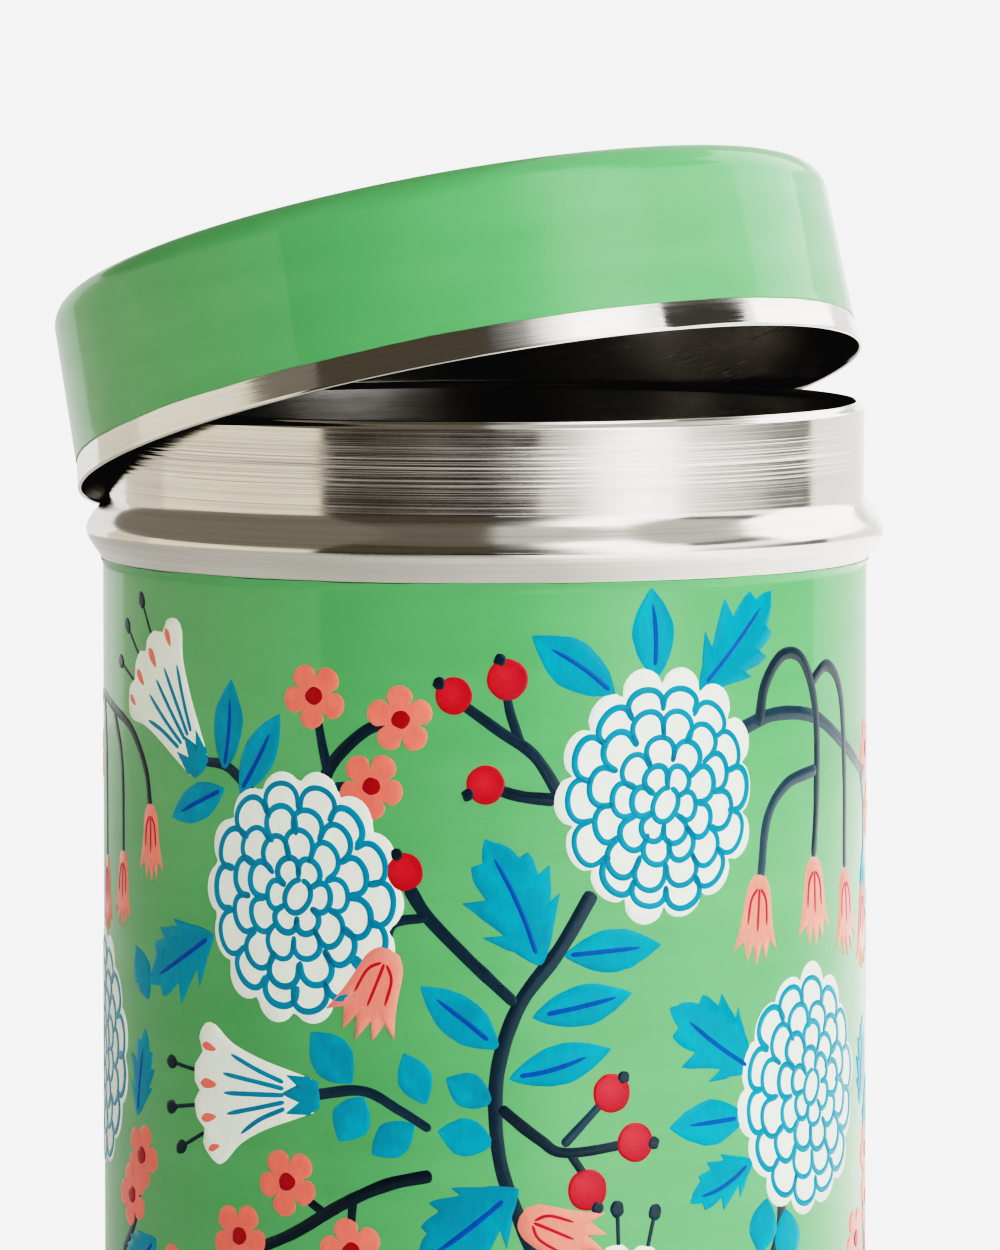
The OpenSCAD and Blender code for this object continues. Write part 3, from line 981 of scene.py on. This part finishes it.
def fill(name, deg, away, w, h, z, level, aim_z=0.12):
    """A soft box deg round from the camera's side, of brightness level, that the steel doesn't mirror."""
    d = bpy.data.lights.new(name, "AREA")
    d.shape, d.size, d.size_y = "RECTANGLE", w, h
    d.energy = level * pi * w * h
    a = radians(deg)
    o = added(name, d)
    o.location = (away * sin(a), -away * cos(a), z)
    o.rotation_euler = (Vector((0, 0, aim_z)) - o.location).to_track_quat("-Z", "Y").to_euler()
    o.visible_camera = False
    o.visible_glossy = False


def backdrop():
    w = bpy.data.worlds.new("studio")
    w.use_nodes = True
    w.node_tree.nodes["Background"].inputs[0].default_value = (SKY, SKY, SKY * 1.01, 1)
    w.node_tree.nodes["Background"].inputs[1].default_value = 1.0
    bpy.context.scene.world = w


def floor_paint():
    """A pale table that fades into the backdrop behind the canister and far from it. For mirror rays only,
    the table's colour is painted near black in front, standing for the dark before the camera as a painted
    dark reflection, and a patch on its right glows at 2.9 as a painted reflection of a pale sheet lying
    there."""
    t = Tree("floor")
    obj = t.n("TexCoord").outputs["Object"]
    xyz = t.n("SeparateXYZ", Vector=obj)
    x, y = xyz.outputs["X"], xyz.outputs["Y"]
    far = t.n("VectorMath", {"operation": "LENGTH"}, i0=obj).outputs["Value"]
    path = t.n("LightPath")
    mirrored, seen = path.outputs["Is Glossy Ray"], path.outputs["Is Camera Ray"]

    pale = t.ramp(t.noise(obj, 60, 2), (0.3, (0.76, 0.76, 0.765)), (0.7, (0.79, 0.79, 0.795)))
    # painted dark reflection: for mirror rays the table turns near black in front of the canister
    slant = t.math("SUBTRACT", x, t.times(y, 0.85))
    painted_dark_reflection = t.times(t.span(y, -0.5, -0.3, 0.42, 0.0), t.span(slant, -0.08, 0.08, 0.0, 1.0))
    pale = t.mix("MIX", t.times(mirrored, painted_dark_reflection), pale, (0.02, 0.02, 0.02, 1))
    table = t.n("BsdfPrincipled", Base_Color=pale, Roughness=0.7)
    # painted reflection: a patch right of the canister glows for mirror rays only, standing for a pale sheet
    right = t.times(t.span(x, 0.05, 0.22, 0.0, 0.7), t.span(far, 1.0, 1.3, 1.0, 0.0))
    painted_reflection_glow = t.n("Emission", Color=(1, 0.98, 0.95, 1), Strength=2.9)
    table = t.n("MixShader", i0=t.times(mirrored, right), i1=table.outputs[0], i2=painted_reflection_glow.outputs[0])

    beside = t.math("SUBTRACT", t.math("ABSOLUTE", x), t.times(y, 0.07))
    behind = t.times(t.span(y, -0.03, 0.22, 0.0, 1.0), t.span(beside, 0.12, 0.5, 1.0, 0.0))
    fade = t.math("MAXIMUM", behind, t.span(far, 0.4, 1.4, 0.0, 1.0))
    sky = t.n("Emission", Color=(SKY, SKY, SKY * 1.01, 1))
    return t.finish(t.n("MixShader", i0=t.times(fade, seen), i1=table.outputs[0], i2=sky.outputs[0]))


def table():
    n = 96
    me = bpy.data.meshes.new("floor")
    verts = [(0, 0, FLOOR_Z)]
    faces = []
    for k, rad in enumerate((0.1, 0.3, 1.0, 6.0)):
        for i in range(n):
            a = 2 * pi * i / n
            verts.append((rad * cos(a), rad * sin(a), FLOOR_Z))
            j = (i + 1) % n
            if k == 0:
                faces.append((0, 1 + i, 1 + j))
            else:
                p = 1 + (k - 1) * n
                faces.append((p + i, p + n + i, p + n + j, p + j))
    me.from_pydata(verts, [], faces)
    me.materials.append(floor_paint())
    floor = added("floor", me)


def panels():
    warm, dusk = (1, 0.92, 0.79), (1, 0.93, 0.82)
    panel("front_low", -49, -9, -7, 9, 0.12, dusk)
    panel("front_mid", -9, 16, -7, 9, 0.075, (1, 0.84, 0.8))
    panel("front_mid_high", -49, 4, 9, 50, 0.18, dusk)
    panel("front_high", -49, 4, 50, 90, 0.27, dusk)
    panel("left_low", -112, -49, -7, 17, 1.2, warm)
    panel("left_high", -180, -49, 17, 90, 0.32, dusk)
    panel("left_back", -138, -112, -7, 17, 0.95, dusk)
    panel("left_edge", -180, -138, -7, 17, [(-180, 1.0), (-138, 1.5)])
    panel("right_low", 16, 115, -7, 12, [(16, 0.6), (26, 0.9), (36, 2.1), (46, 2.9), (56, 2.5), (64, 1.3),
                                         (74, 0.95), (89, 0.65), (98, 0.38), (115, 0.3)])
    panel("right_mid", 4, 66, 12, 37, [(4, 0.16), (14, 0.25), (22, 0.8), (30, 1.9), (40, 3.0), (54, 2.8),
                                       (66, 2.3)])
    panel("right_wide", 66, 102, 12, 29, 1.9)
    panel("right_gap", 66, 102, 29, 38, 0.15)
    panel("right_up", 4, 64, 37, 58, [(4, 0.25), (16, 0.6), (34, 3.0), (54, 3.0), (64, 1.2)])
    panel("right_top", 4, 64, 58, 90, 0.8)
    panel("right_side", 64, 102, 38, 90, 0.8)
    panel("right_band", 102, 150, 12, 44, 3.0)
    panel("right_high", 102, 150, 44, 90, 1.05)
    panel("right_back", 115, 160, -7, 12, 1.45)
    panel("back_right", 150, 180, 12, 90, 1.05)


def camera():
    cam = bpy.data.cameras.new("camera")
    cam.lens, cam.sensor_width, cam.clip_end = 299.5, 36.0, 50.0
    o = added("camera", cam)
    pitch, away = radians(4.5), 1.5
    aim = Vector((0.0022, 0, 0.1302))
    o.location = aim - away * Vector((0, cos(pitch), -sin(pitch)))
    o.rotation_euler = (pi / 2 - pitch, 0, 0)
    bpy.context.scene.camera = o


def response():
    """A film's response: a soft toe, then a long shoulder up to the white of the backdrop."""
    view = bpy.context.scene.view_settings
    view.view_transform = "Standard"
    view.use_curve_mapping = True
    cm = view.curve_mapping
    white = 3.0
    cm.white_level = (white, white, white)
    curve = cm.curves[3]           # the one for all three channels
    curve.points[0].location, curve.points[1].location = (0, 0.0022), (1, 1)
    for x, y in ((0.04, 0.0045), (0.08, 0.02), (0.12, 0.055), (0.168, 0.105), (0.25, 0.2), (0.34, 0.3),
                 (0.49, 0.45), (0.7, 0.6), (1.09, 0.75), (2.0, 0.9)):
        curve.points.new(x / white, y)
    cm.update()


def stage():
    backdrop()
    table()
    panels()
    fill("fill_front", 2, 1.2, 1.1, 1.0, 0.62, 4.2)
    fill("fill_low", 8, 1.2, 1.5, 0.3, 0.08, 2.2, 0.05)
    fill("fill_right", 62, 1.2, 0.8, 1.0, 0.5, 2.2)
    camera()
    response()


canister_steel()
canister_enamel()
base_disc()
lid()
garland()
lower_and_back()
for layer in LAYERS:
    layer.make()
stage()
